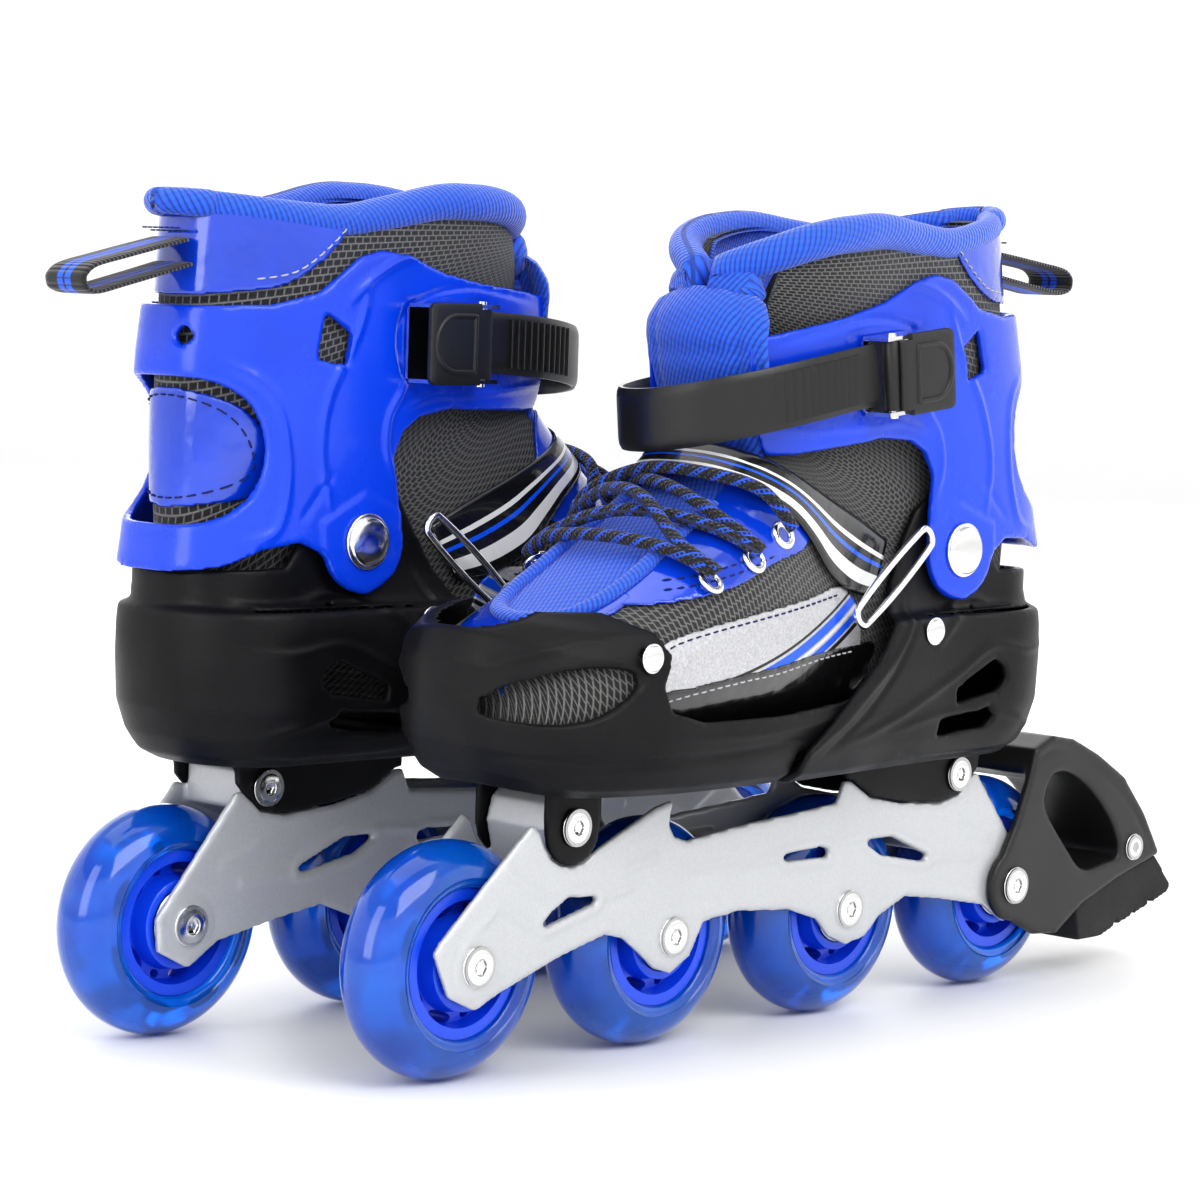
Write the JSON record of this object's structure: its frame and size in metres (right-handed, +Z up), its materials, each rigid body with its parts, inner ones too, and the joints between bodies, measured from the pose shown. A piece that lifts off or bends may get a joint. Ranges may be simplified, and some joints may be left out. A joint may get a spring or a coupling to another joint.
{
  "type": "pair of inline skates",
  "caption": "Pair of adjustable inline skates: hard shells with hinged cuffs, ratchet buckles, soft liners, laces, straps and a row of wheels under each, one with a heel brake.",
  "frame": {"origin": "on the ground under the middle of the pair's outer box, brake and pull loops included", "axes": "+Z up; +X towards the right skate's toe and away from the left skate's toe; +Y towards the right skate. Each skate's outer side faces -Y"},
  "size_m": [0.4076, 0.1912, 0.259],
  "materials": {
    "frame_alloy": "satin silver-grey",
    "tyre": "glossy translucent blue polyurethane",
    "blue_hub": "opaque deep blue moulded plastic",
    "bright_steel": "bright zinc-plated steel",
    "bearing_steel": "ground steel",
    "chrome": "polished nickel plate",
    "black_shell": "semi-matte black moulded plastic",
    "blue_cuff": "vivid glossy blue moulded plastic",
    "black_plastic": "satin black plastic",
    "black_rubber": "matte black rubber",
    "strap_webbing": "black webbing with blue and silver stripes",
    "lace_cord": "braided black cord with blue flecks",
    "mesh_fabric": "grey honeycomb mesh over black, with glossy blue panels",
    "blue_fabric": "woven blue lining"
  },
  "bodies": {
    "right_skate": {"right_frame": "frame_alloy", "right_axles": "bright_steel", "right_bearing_cores": "bearing_steel", "right_frame_bolts": "bright_steel", "right_heel_shell": "black_shell", "right_shell_rivets": "chrome", "right_cuff_pivots": "chrome", "right_instep_strap": "strap_webbing", "right_strap_ring": "chrome", "right_lace": "lace_cord", "right_eyelets": "chrome", "right_liner_foot": "mesh_fabric"},
    "right_toe_piece": {"right_toe_shell": "black_shell", "right_toe_rivets": "chrome"},
    "right_cuff_group": {"right_cuff": "blue_cuff", "right_buckle_base": "chrome", "right_ratchet_strap": "black_plastic", "right_liner_shaft": "mesh_fabric", "right_tongue": "blue_fabric", "right_pull_tab": "strap_webbing"},
    "right_lever": {"right_buckle_lever": "black_plastic"},
    "right_wheel_1": {"right_tyre_1": "tyre", "right_hub_1": "blue_hub"},
    "right_wheel_2": {"right_tyre_2": "tyre", "right_hub_2": "blue_hub"},
    "right_wheel_3": {"right_tyre_3": "tyre", "right_hub_3": "blue_hub"},
    "right_wheel_4": {"right_tyre_4": "tyre", "right_hub_4": "blue_hub"},
    "left_skate": {"left_frame": "frame_alloy", "left_axles": "bright_steel", "left_bearing_cores": "bearing_steel", "left_frame_bolts": "bright_steel", "left_heel_shell": "black_shell", "left_shell_rivets": "chrome", "left_cuff_pivots": "chrome", "left_instep_strap": "strap_webbing", "left_strap_ring": "chrome", "left_lace": "lace_cord", "left_eyelets": "chrome", "left_liner_foot": "mesh_fabric", "left_brake_arm": "black_plastic", "left_brake_pad": "black_rubber"},
    "left_toe_piece": {"left_toe_shell": "black_shell", "left_toe_rivets": "chrome"},
    "left_cuff_group": {"left_cuff": "blue_cuff", "left_buckle_base": "chrome", "left_ratchet_strap": "black_plastic", "left_liner_shaft": "mesh_fabric", "left_tongue": "blue_fabric", "left_pull_tab": "strap_webbing"},
    "left_lever": {"left_buckle_lever": "black_plastic"},
    "left_wheel_1": {"left_tyre_1": "tyre", "left_hub_1": "blue_hub"},
    "left_wheel_2": {"left_tyre_2": "tyre", "left_hub_2": "blue_hub"},
    "left_wheel_3": {"left_tyre_3": "tyre", "left_hub_3": "blue_hub"},
    "left_wheel_4": {"left_tyre_4": "tyre", "left_hub_4": "blue_hub"}
  },
  "joints": [
    {"name": "right_wheel_1_spin", "type": "hinge", "parent": "right_skate", "child": "right_wheel_1", "pos_m": [0.08634, 0.0492, 0.035], "axis": [0, 1, 0], "continuous": true},
    {"name": "right_wheel_2_spin", "type": "hinge", "parent": "right_skate", "child": "right_wheel_2", "pos_m": [0.00334, 0.0492, 0.035], "axis": [0, 1, 0], "continuous": true},
    {"name": "right_wheel_3_spin", "type": "hinge", "parent": "right_skate", "child": "right_wheel_3", "pos_m": [-0.07966, 0.0492, 0.035], "axis": [0, 1, 0], "continuous": true},
    {"name": "right_wheel_4_spin", "type": "hinge", "parent": "right_skate", "child": "right_wheel_4", "pos_m": [-0.16266, 0.0492, 0.035], "axis": [0, 1, 0], "continuous": true},
    {"name": "right_cuff_flex", "type": "hinge", "parent": "right_skate", "child": "right_cuff_group", "pos_m": [-0.11036, 0.0492, 0.1499], "axis": [0, 1, 0], "range_deg": [-4, 8], "stiffness_Nm_per_rad": 4},
    {"name": "right_toe_size_slide", "type": "slide", "parent": "right_skate", "child": "right_toe_piece", "axis": [1, 0, 0], "range_m": [0, 0.018]},
    {"name": "right_buckle_lever_open", "type": "hinge", "parent": "right_cuff_group", "child": "right_lever", "pos_m": [-0.07016, 0.0115, 0.2105], "axis": [0, 0, 1], "range_deg": [0, 70]},
    {"name": "left_wheel_1_spin", "type": "hinge", "parent": "left_skate", "child": "left_wheel_1", "pos_m": [-0.14066, -0.0506, 0.035], "axis": [0, 1, 0], "continuous": true},
    {"name": "left_wheel_2_spin", "type": "hinge", "parent": "left_skate", "child": "left_wheel_2", "pos_m": [-0.05766, -0.0506, 0.035], "axis": [0, 1, 0], "continuous": true},
    {"name": "left_wheel_3_spin", "type": "hinge", "parent": "left_skate", "child": "left_wheel_3", "pos_m": [0.02534, -0.0506, 0.035], "axis": [0, 1, 0], "continuous": true},
    {"name": "left_wheel_4_spin", "type": "hinge", "parent": "left_skate", "child": "left_wheel_4", "pos_m": [0.10834, -0.0506, 0.035], "axis": [0, 1, 0], "continuous": true},
    {"name": "left_cuff_flex", "type": "hinge", "parent": "left_skate", "child": "left_cuff_group", "pos_m": [0.05604, -0.0506, 0.1499], "axis": [0, -1, 0], "range_deg": [-10.5, 1.5], "stiffness_Nm_per_rad": 4},
    {"name": "left_toe_size_slide", "type": "slide", "parent": "left_skate", "child": "left_toe_piece", "axis": [-1, 0, 0], "range_m": [0, 0.018]},
    {"name": "left_buckle_lever_open", "type": "hinge", "parent": "left_cuff_group", "child": "left_lever", "pos_m": [0.00924, -0.0883, 0.20556], "axis": [0.1132, 0, -0.9936], "range_deg": [0, 70]},
    {"name": "left_skate_lift", "type": "slide", "parent": "right_skate", "child": "left_skate", "axis": [0, 0, 1], "range_m": [0, 0.3]}
  ]
}
